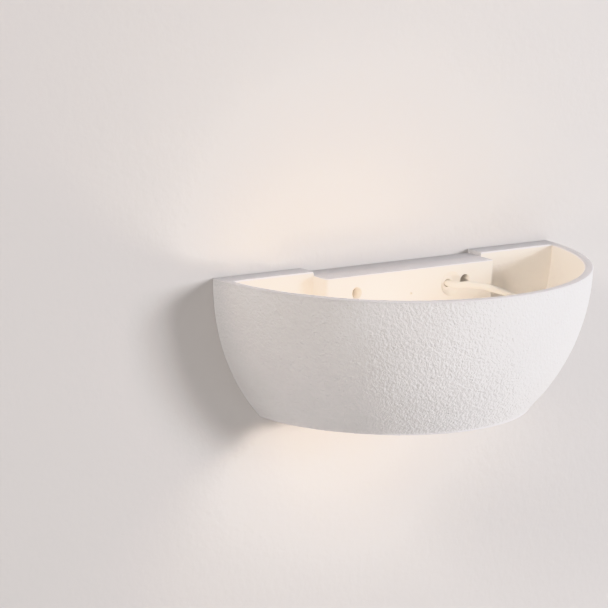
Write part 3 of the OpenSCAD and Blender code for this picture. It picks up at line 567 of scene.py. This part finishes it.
SCREW_X, SCREW_Z, ACCESS_D, SHANK_D = 53.5 * MM, 13.5 * MM, 10 * MM, 5.6 * MM
HEAD_SEAT, EAR_OUT = 19.5 * MM, 14.5 * MM
LEAD_X, LEAD_Z, LEAD_HOLE_D = 39 * MM, 12 * MM, 7 * MM
DISH_D, DISH_DEPTH = 20 * MM, 4 * MM
VENT_D, VENT_Z = 2.5 * MM, 8 * MM
BOLT_X, BOLT_Z, BOLT_GAP, BOLT_HOLE_D = 53 * MM, -34 * MM, 16 * MM, 4.6 * MM
CORNER_R, CORNER_STEPS, BOX_EDGE, BOX_EDGE_STEPS = 3.4 * MM, 8, 0.9 * MM, 3
BOSS_D, BOSS_ROOT, ROUND_SIDES = 16 * MM, 2 * MM, 64
DISH_AHEAD, DISH_LEDGE = 0.4 * MM, 4 * MM
# How far a cutting block runs past what it cuts.
PAST = 5 * MM
# An edge is rounded from the first angle on, and shaded as a crease from the other two.
SHARP_FROM, BOX_CREASE, BOWL_CREASE = (math.radians(a) for a in (35, 32, 40))
# A face whose normal rises at least this far is part of the box's rubbed top, which gets the painted cool
# shade.
FACES_UP = 0.7


def is_front_corner(edge):
    """True for the box's two upright edges that face the room."""
    a, b = (vert.co for vert in edge.verts)
    return max(a.y, b.y) < -BOX_OUT + MM and abs(a.z - b.z) > MM


def make_wiring_box():
    """The hollow box cast with the bowl: bosses for the shell screws, and all the holes in its front."""
    low_z = BOX_TOP - BOX_H
    box = block("plaster_wiring_box", (-BOX_X, -BOX_OUT, low_z), (BOX_X, 0, BOX_TOP))
    shape = bmesh.new()
    shape.from_mesh(box.data)
    upright = [edge for edge in shape.edges if is_front_corner(edge)]
    bmesh.ops.bevel(shape, geom=upright, offset=CORNER_R, segments=CORNER_STEPS, profile=0.5, affect="EDGES")
    shape.to_mesh(box.data)
    shape.free()
    soften(box, BOX_EDGE, BOX_EDGE_STEPS)
    inside = block("cavity", (-BOX_X + BOX_T, -BOX_OUT + BOX_T, low_z + BOX_T),
                   (BOX_X - BOX_T, PAST, BOX_TOP - BOX_T))
    cut(box, [inside])
    bosses = [round_cutter("boss", side * SCREW_X, SCREW_Z, -BOX_OUT + BOSS_ROOT, -EAR_OUT,
                           BOSS_D, BOSS_D, ROUND_SIDES) for side in (-1, 1)]
    cut(box, bosses, "UNION")
    holes = []
    for side in (-1, 1):
        x = side * SCREW_X
        holes.append(round_cutter("access", x, SCREW_Z, -BOX_OUT - MM, -HEAD_SEAT, ACCESS_D, ACCESS_D))
        holes.append(round_cutter("shank", x, SCREW_Z, -BOX_OUT, -EAR_OUT + MM, SHANK_D, SHANK_D, sides=32))
        holes.append(round_cutter("bolt", BOLT_X, BOLT_Z + side * BOLT_GAP / 2, -BOX_OUT - MM,
                                  -BOX_OUT + BOX_T + MM, BOLT_HOLE_D, BOLT_HOLE_D, sides=32))
    holes.append(round_cutter("vent", 0, VENT_Z, -BOX_OUT - MM, -BOX_OUT + BOX_T + MM, VENT_D, VENT_D,
                              sides=24))
    holes.append(round_cutter("lead_hole", LEAD_X, LEAD_Z, -BOX_OUT - MM, -BOX_OUT + BOX_T + MM,
                              LEAD_HOLE_D, LEAD_HOLE_D))
    holes.append(round_cutter("dish", LEAD_X, LEAD_Z, -BOX_OUT - DISH_AHEAD, -BOX_OUT + DISH_DEPTH,
                              DISH_D + MM, LEAD_HOLE_D + DISH_LEDGE, ROUND_SIDES))
    cut(box, holes)
    box.data.materials.clear()
    # Every face but the top gets the plaster whose warm tint is painted lamp light.
    box.data.materials.append(plaster_inside_painted_warm_light)
    box.data.materials.append(plaster_rubbed_painted_shade)
    # Upward faces at the top get the plaster whose lilac-grey tint is painted cool shade.
    for face in box.data.polygons:
        face.material_index = 1 if face.normal.z > FACES_UP and face.center.z > BOX_TOP - MM else 0
    box.data.set_sharp_from_angle(angle=BOX_CREASE)
    return box


bowl = make_bowl()
cut(bowl, [block("window", (-BOX_X, -BACK_T - PAST, BOX_TOP - BOX_H), (BOX_X, PAST, RIM_Z + PAST))])
bowl.data.set_sharp_from_angle(angle=BOWL_CREASE)
wiring_box = make_wiring_box()
for piece in (bowl, wiring_box):
    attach(piece, "fitting")
    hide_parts("plaster_shell")


# ---------- wall, floor and light ----------

WALL_Y, ROOM, FLOOR_Z = 0.4 * MM, 4.0, -0.9


def room_paint(name, colour, stipple_mm, stipple_up_mm, passes_within):
    """Matt paint rolled on, with a low stipple. From behind, the plane isn't there, so the object can be
    seen past it, and it stops no light that starts within the given distance of it."""
    material, tree = new_material(name)
    place = add(tree, "ShaderNodeTexCoord").outputs["Object"]
    stipple = add(tree, "ShaderNodeTexNoise", {"Vector": place, "Scale": 1 / (stipple_mm * MM), "Detail": 3})
    relief = add(tree, "ShaderNodeBump",
                 {"Height": stipple.outputs["Fac"], "Strength": 1, "Distance": stipple_up_mm * MM})
    paint = add(tree, "ShaderNodeBsdfPrincipled",
                {"Base Color": srgb(colour), "Roughness": 0.85, "Normal": relief.outputs["Normal"],
                 "Specular IOR Level": 0.2})
    clear = add(tree, "ShaderNodeBsdfTransparent")
    behind = add(tree, "ShaderNodeNewGeometry")
    path = add(tree, "ShaderNodeLightPath")
    near = add(tree, "ShaderNodeMath",
               {0: path.outputs["Ray Length"], 1: passes_within}, operation="LESS_THAN")
    unseen = add(tree, "ShaderNodeMath", {0: behind.outputs["Backfacing"], 1: near.outputs[0]},
                 operation="MAXIMUM")
    mix = add(tree, "ShaderNodeMixShader", {"Fac": unseen.outputs[0]})
    tree.links.new(paint.outputs["BSDF"], mix.inputs[1])
    tree.links.new(clear.outputs["BSDF"], mix.inputs[2])
    add(tree, "ShaderNodeOutputMaterial", {"Surface": mix.outputs["Shader"]})
    return material


def stage_plane(name, corners, material):
    """One flat face of the studio, facing the object."""
    mesh = bpy.data.meshes.new(name)
    mesh.from_pydata(corners, [], [(0, 1, 2, 3)])
    mesh.materials.append(material)
    plane = put(name, mesh)


# The object's back nearly touches the wall, so light within the wiring box's depth passes it.
stage_plane("wall", [(-ROOM, WALL_Y, FLOOR_Z), (ROOM, WALL_Y, FLOOR_Z),
                     (ROOM, WALL_Y, ROOM), (-ROOM, WALL_Y, ROOM)],
            room_paint("wall_paint", "#d2cfcd", stipple_mm=7, stipple_up_mm=0.25, passes_within=BOX_OUT))
stage_plane("floor", [(-ROOM, -ROOM, FLOOR_Z), (ROOM, -ROOM, FLOOR_Z),
                      (ROOM, ROOM, FLOOR_Z), (-ROOM, ROOM, FLOOR_Z)],
            room_paint("floor_paint", "#e6e4e1", stipple_mm=20, stipple_up_mm=0.05, passes_within=0))


def soft_light(name, at, aim, size, power, colour):
    """A square lamp that faces the point it is aimed at."""
    lamp = bpy.data.lights.new(name, "AREA")
    lamp.size, lamp.energy, lamp.color = size, power, srgb(colour)[:3]
    thing = put(name, lamp)
    thing.location = at
    thing.rotation_mode = "QUATERNION"
    thing.rotation_quaternion = (Vector(aim) - Vector(at)).to_track_quat("-Z", "Y")


WORLD_COLOUR, WORLD_STRENGTH = "#f2f2f6", 0.36
# The key comes from the right and throws the shadow at the left. The side light brightens the left end.
soft_light("key", at=(1.78, -2.3, 0.47), aim=(0, 0, 0), size=0.75, power=65, colour="#fdfcff")
soft_light("side", at=(-1.75, -0.85, 1.25), aim=(0.05, -0.04, 0), size=0.6, power=19, colour="#fff4ea")
world = bpy.data.worlds.new("studio")
world.use_nodes = True
background = world.node_tree.nodes["Background"]
background.inputs["Color"].default_value = srgb(WORLD_COLOUR)
background.inputs["Strength"].default_value = WORLD_STRENGTH
scene.world = world
